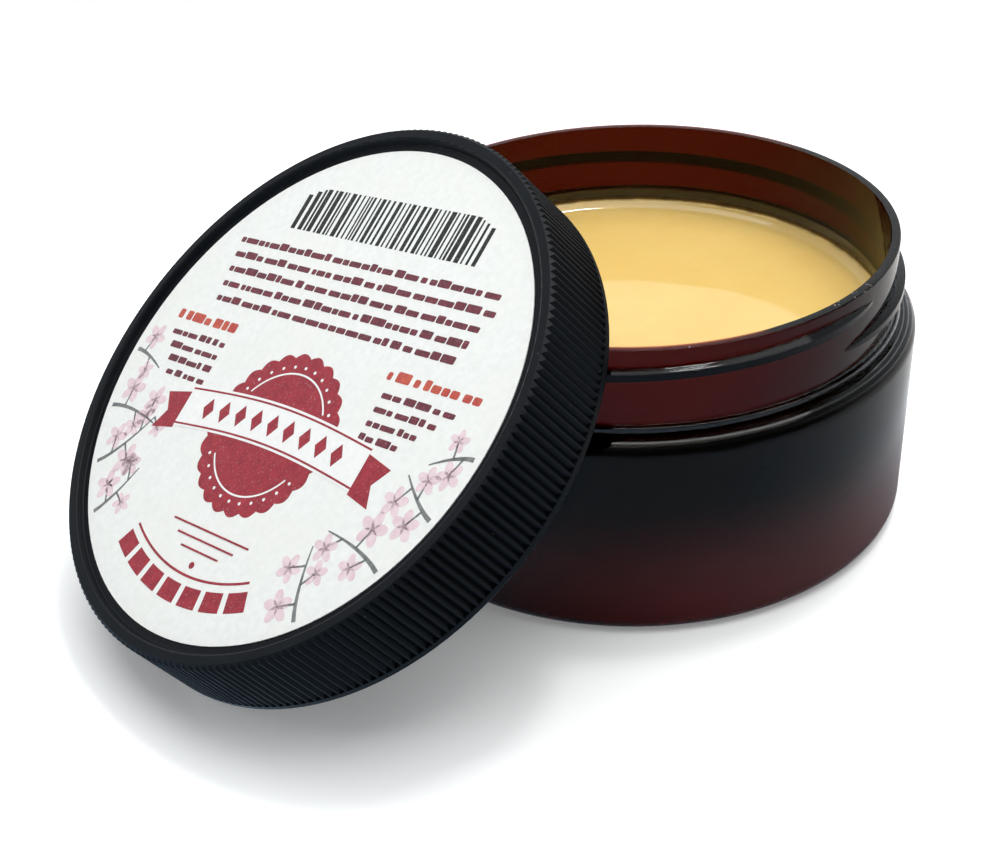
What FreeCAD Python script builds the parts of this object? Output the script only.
import FreeCAD, Part
import math
import os

# A half-pound jar of maple cream, open, with its screw cap leaning on the rim.
# Millimetres, +Z up.  The jar stands on Z = 0 and the cap leans towards -X.

# ---- jar, outside
JAR_H = 48.1             # foot to rim
BODY_R = 46.5            # body
NECK_R = 42.8            # neck, above and below the thread
NECK_H = 13.5            # shoulder to rim
BASE_ROUND = 3.0         # between the foot and the body
SHOULDER_ROUND = 2.6     # between the body and the shoulder
BEAD_W = 1.0             # ledge at the foot of the neck
BEAD_H = 1.3
BEAD_ROUND = 0.4
RIM_ROUND = 0.25         # softened edge of the flat rim
FOOT_W = 8.5             # body to the inner edge of the ring the jar stands on
PUSH_UP = 1.2            # rise of the middle of the base
PUSH_SLOPE = 3.0         # width of the slope up to it

# ---- jar, inside
NECK_WALL = 1.4
BODY_WALL = 1.1          # lower part of the body
UPPER_WALL = 2.0         # upper part of the body
THIN_Z = 13.0            # height up to which the wall is thin
THICK_Z = 21.0           # height from which it is thick
BASE_WALL = 1.2
INNER_ROUND = 2.0        # between the inner floor and the inner wall
CLOSE_IN = 1.2           # shoulder down to the lower end of the neck's bore
CLOSE_IN_H = 1.4         # height of the slope below it

# ---- screw thread of the neck, which the cap's thread repeats
PITCH = 5.08
THREAD_DEPTH = 1.3
THREAD_ROOT = 2.7        # width at the wall
THREAD_CREST = 1.2       # width at the crest
THREAD_SINK = 0.5        # how far the root runs into the wall
THREAD_FADE = 22.0       # degrees over which each end runs out
THREAD_STEP = 13.0       # degrees between sections
THREAD_START = 281.0     # bearing of the lower end
THREAD_TURN = 369.0      # degrees from end to end
THREAD_DROP = 2.9        # rim down to the upper end

# ---- cream
CREAM_DROP = 2.1         # shoulder down to the cream's level
MENISCUS = 1.7           # rise where it clings to the wall
MENISCUS_W = 2.6         # width of that rise
MENISCUS_ROUND = 3.5     # between the rise and the level top

# ---- cap, in its own frame: open end at Z = 0, top up
CAP_H = 14.4
CAP_WALL = 2.05          # bore to the crest of the ribs, at the open end
CAP_DRAFT = 0.65         # how much narrower the skirt is at the top
CAP_BEVEL = 0.6          # between the skirt and the top
LIP_ROUND = 0.3          # outer edge of the open end
LEAD_IN = 0.75           # bevel at the mouth of the bore
RING_FLAT = 1.5          # width of the flat top of the raised ring
RING_ROUND = 0.4         # inner edge of the ring
RING_SLOPE = 0.5         # how far its inner wall leans in
RING_FOOT = 0.25         # between that wall and the panel
RECESS = 1.22            # ring down to the panel
PANEL = 1.2              # thickness of the panel
PANEL_ROUND = 1.2        # between the bore and the panel
THREAD_PLAY = 0.7        # between the bore and the crest of the neck's thread
CAP_THREAD_LIFT = 3.6    # open end to the cap thread's lower end
CAP_THREAD_TURN = 330.0
RIBS = 214
RIB_DEPTH = 0.55
GROOVE_SHARE = 0.84      # part of each rib's pitch taken by its groove
BAND = 1.1               # plain band at the open end

# ---- label
LABEL_PLAY = 1.2         # gap round it, to the foot of the ring
LABEL_T = 0.16

# ---- how the cap leans
REST_SHARE = 0.7035      # where the rim meets the open end, from its middle to its top
CAP_SIDEWAYS = 1.3       # how far the cap lies off the jar's middle
CAP_SPIN = 20.0          # turn about its own axis
REST_GAP = 0.12          # clearance at the rim

# ---- worked out
SHOULDER_Z = JAR_H - NECK_H
BORE_R = NECK_R + THREAD_DEPTH + THREAD_PLAY
CAP_R = BORE_R + CAP_WALL
CAP_TOP_R = CAP_R - CAP_DRAFT
RING_R = CAP_TOP_R - CAP_BEVEL - RING_FLAT
PANEL_R = RING_R - RING_SLOPE
MOUTH_R = BORE_R + LEAD_IN

AXIS = FreeCAD.Vector(0, 0, 1)
ZERO = FreeCAD.Vector(0, 0, 0)


def turned(points, rounds):
    """Solid of revolution of a closed outline; rounds maps a corner to its radius."""
    corners = [FreeCAD.Vector(r, 0, z) for r, z in points]
    count = len(corners)
    spans = []
    arcs = []
    for i, corner in enumerate(corners):
        if i not in rounds:
            spans.append((corner, corner))
            continue
        back = (corners[i - 1] - corner).normalize()
        ahead = (corners[(i + 1) % count] - corner).normalize()
        half = back.getAngle(ahead) / 2
        cut = rounds[i] / math.tan(half)
        middle = (back + ahead).normalize() * (rounds[i] / math.sin(half) - rounds[i])
        first = corner + back * cut
        last = corner + ahead * cut
        spans.append((first, last))
        arcs.append(Part.Arc(first, corner + middle, last).toShape())
    lines = []
    for i in range(count):
        start = spans[i][1]
        end = spans[(i + 1) % count][0]
        if (end - start).Length > 1e-6:
            lines.append(Part.makeLine(start, end))
    wire = Part.Wire(Part.__sortEdges__(lines + arcs))
    return Part.Face(wire).revolve(ZERO, AXIS, 360)


def thread(wall_r, outwards, start, turn, z_start):
    """Ridge on a round wall, rising as it turns, with both ends faded into the wall."""
    side = 1 if outwards else -1
    count = round(turn / THREAD_STEP)
    sections = []
    for i in range(count + 1):
        along = turn * i / count
        fade = min(1, along / THREAD_FADE, (turn - along) / THREAD_FADE)
        full = math.sin(fade * math.pi / 2)
        root = THREAD_ROOT / 2 * (0.4 + 0.6 * full)
        crest = THREAD_CREST / 2 * (0.4 + 0.6 * full)
        sunk_r = wall_r - side * THREAD_SINK
        crest_r = wall_r + side * THREAD_DEPTH * (0.05 + 0.95 * full)
        z = z_start + PITCH * along / 360
        bearing = math.radians(start + along)
        ring = []
        for r, dz in ((sunk_r, -root), (crest_r, -crest), (crest_r, crest), (sunk_r, root)):
            ring.append(FreeCAD.Vector(r * math.cos(bearing), r * math.sin(bearing), z + dz))
        sections.append(Part.makePolygon(ring + ring[:1]))
    return Part.makeLoft(sections, True, False)


def hollow():
    """Corners and rounds of the jar's inside, from the axis out and up to the bore."""
    bore = NECK_R - NECK_WALL
    thin = BODY_R - BODY_WALL
    thick = BODY_R - UPPER_WALL
    foot = BODY_R - FOOT_W
    close_z = SHOULDER_Z - CLOSE_IN
    corners = [
        (0, PUSH_UP + BASE_WALL),
        (foot - PUSH_SLOPE, PUSH_UP + BASE_WALL),
        (foot, BASE_WALL),
        (thin, BASE_WALL),
        (thin, THIN_Z),
        (thick, THICK_Z),
        (thick, close_z - CLOSE_IN_H),
        (bore, close_z),
    ]
    return corners, {3: INNER_ROUND}, bore


def make_jar():
    foot = BODY_R - FOOT_W
    bead = NECK_R + BEAD_W
    outline = [
        (0, PUSH_UP),
        (foot - PUSH_SLOPE, PUSH_UP),
        (foot, 0),
        (BODY_R, 0),
        (BODY_R, SHOULDER_Z),
        (bead, SHOULDER_Z),
        (bead, SHOULDER_Z + BEAD_H),
        (NECK_R, SHOULDER_Z + BEAD_H),
        (NECK_R, JAR_H),
        (0, JAR_H),
    ]
    rounds = {3: BASE_ROUND, 4: SHOULDER_ROUND, 6: BEAD_ROUND, 7: BEAD_ROUND, 8: RIM_ROUND}
    bulk = turned(outline, rounds)
    thread_z = JAR_H - THREAD_DROP - PITCH * THREAD_TURN / 360
    bulk = bulk.fuse(thread(NECK_R, True, THREAD_START, THREAD_TURN, thread_z))
    corners, inner_rounds, bore = hollow()
    above = 2 * JAR_H
    inside = turned(corners + [(bore, above), (0, above)], inner_rounds)
    return bulk.cut(inside).Solids[0]


def make_cream():
    corners, rounds, bore = hollow()
    level = SHOULDER_Z - CREAM_DROP
    top = [(bore, level + MENISCUS), (bore - MENISCUS_W, level), (0, level)]
    rounds[len(corners) + 1] = MENISCUS_ROUND
    return turned(corners + top, rounds)


def make_grooves():
    """V grooves that leave the cap's ribs standing, from its band out through its bevel."""
    half = GROOVE_SHARE * math.pi * CAP_R / RIBS
    clear = 2 * RIB_DEPTH
    wide = half * (RIB_DEPTH + clear) / RIB_DEPTH
    wires = []
    for z in (BAND, CAP_H):
        r = CAP_R - CAP_DRAFT * z / (CAP_H - CAP_BEVEL)
        ring = [
            FreeCAD.Vector(r - RIB_DEPTH, 0, z),
            FreeCAD.Vector(r + clear, wide, z),
            FreeCAD.Vector(r + clear, -wide, z),
        ]
        wires.append(Part.makePolygon(ring + ring[:1]))
    groove = Part.makeLoft(wires, True, True)
    grooves = []
    for i in range(RIBS):
        turned_copy = groove.copy()
        turned_copy.rotate(ZERO, AXIS, 360 * i / RIBS)
        grooves.append(turned_copy)
    return grooves


def make_cap():
    recess_z = CAP_H - RECESS
    outline = [
        (0, recess_z - PANEL),
        (BORE_R, recess_z - PANEL),
        (BORE_R, LEAD_IN),
        (MOUTH_R, 0),
        (CAP_R, 0),
        (CAP_TOP_R, CAP_H - CAP_BEVEL),
        (CAP_TOP_R - CAP_BEVEL, CAP_H),
        (RING_R, CAP_H),
        (PANEL_R, recess_z),
        (0, recess_z),
    ]
    rounds = {1: PANEL_ROUND, 4: LIP_ROUND, 7: RING_ROUND, 8: RING_FOOT}
    cap = turned(outline, rounds)
    cap = cap.fuse(thread(BORE_R, False, 0, CAP_THREAD_TURN, CAP_THREAD_LIFT))
    return cap.cut(make_grooves()).Solids[0]


def make_label():
    label = Part.makeCylinder(PANEL_R - LABEL_PLAY, LABEL_T)
    label.translate(FreeCAD.Vector(0, 0, CAP_H - RECESS))
    return label


def lean(shape):
    """Lay a piece of the cap where it rests on its lower edge and on the jar's rim."""
    up_cap = REST_SHARE * BORE_R
    edge_r = CAP_R - LIP_ROUND
    # The slope at which the open end reaches from the floor to the rim.
    reach = edge_r + up_cap
    span = math.hypot(reach, LIP_ROUND)
    slope = math.asin((JAR_H - LIP_ROUND) / span) + math.atan2(LIP_ROUND, reach)
    open_z = edge_r * math.sin(slope) - LIP_ROUND * math.cos(slope) + LIP_ROUND
    # The rim's edge meets the mouth's edge at the nearer end of its chord.
    half_chord = math.sqrt(MOUTH_R ** 2 - up_cap ** 2) - CAP_SIDEWAYS
    rim_x = -math.sqrt(NECK_R ** 2 - half_chord ** 2)
    open_x = rim_x - up_cap * math.cos(slope) - REST_GAP
    placed = shape.copy()
    placed.rotate(ZERO, AXIS, CAP_SPIN)
    placed.rotate(ZERO, FreeCAD.Vector(0, 1, 0), -math.degrees(slope))
    placed.translate(FreeCAD.Vector(open_x, CAP_SIDEWAYS, open_z))
    return placed


pieces = {
    "jar": make_jar(),
    "cream": make_cream(),
    "cap": lean(make_cap()),
    "label": lean(make_label()),
}

# The origin is on the floor, under the middle of the whole.
box = Part.makeCompound(list(pieces.values())).optimalBoundingBox(False)
middle = FreeCAD.Vector(box.Center.x, box.Center.y, 0)
print("jar's axis at", -middle)

os.makedirs("parts", exist_ok=True)
for name, shape in pieces.items():
    shape.translate(-middle)
    print(name, shape.ShapeType, shape.isValid(), round(shape.Volume, 1))
    shape.exportStep("parts/%s.step" % name)
